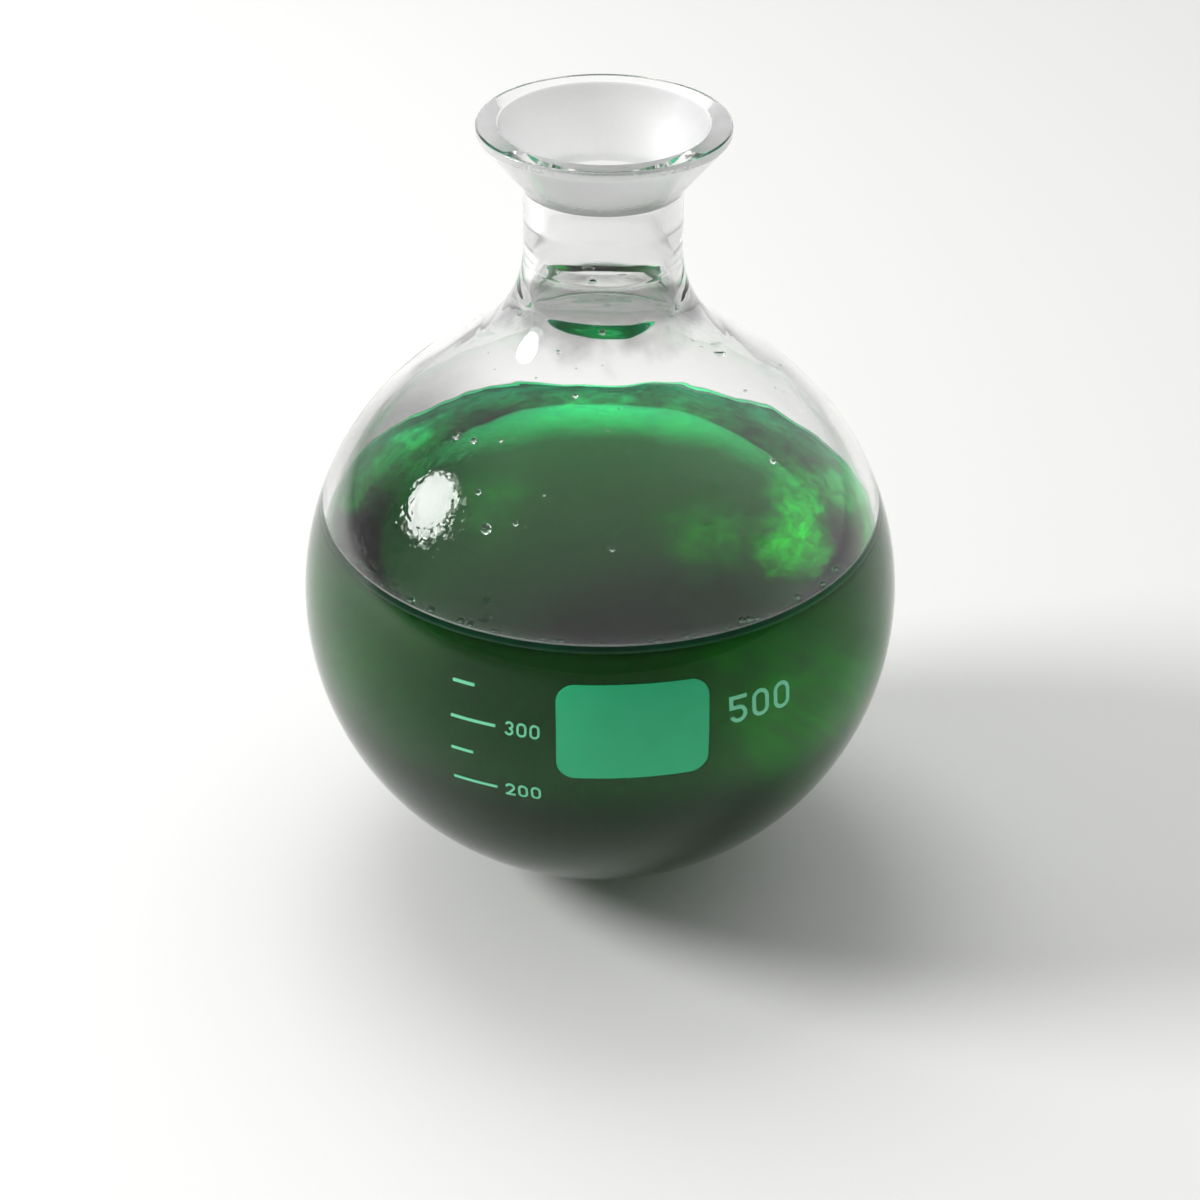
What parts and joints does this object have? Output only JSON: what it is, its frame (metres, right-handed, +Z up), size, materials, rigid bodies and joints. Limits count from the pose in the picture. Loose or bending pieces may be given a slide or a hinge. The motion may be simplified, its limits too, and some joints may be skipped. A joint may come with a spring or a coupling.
{
  "type": "round bottom flask",
  "caption": "Round bottom glass flask with a spherical ground-joint socket on its short neck, printed marks and a green liquid that stays level.",
  "frame": {"origin": "the bulb's lowest point, on the axis of the neck", "axes": "+Z up along the neck's axis, the printed front faces -Y, +X to the right as seen from the front"},
  "size_m": [0.105, 0.1051, 0.141],
  "materials": {
    "borosilicate_glass": "clear and fire polished, with a matt ground seat inside the socket",
    "green_solution": "clear deep green liquid",
    "fired_enamel": "thin fired enamel print, satin"
  },
  "bodies": {
    "glass": {"bulb": "borosilicate_glass", "ball_socket": "borosilicate_glass", "writing_field": "fired_enamel", "capacity_figures": "fired_enamel", "level_lines": "fired_enamel", "level_figures": "fired_enamel"},
    "liquid": {"solution": "green_solution"}
  },
  "joints": [
    {"name": "liquid_level", "type": "hinge", "parent": "glass", "child": "liquid", "pos_m": [0, 0, 0.0525], "axis": [0, 1, 0], "range_deg": [-25, 25]}
  ]
}
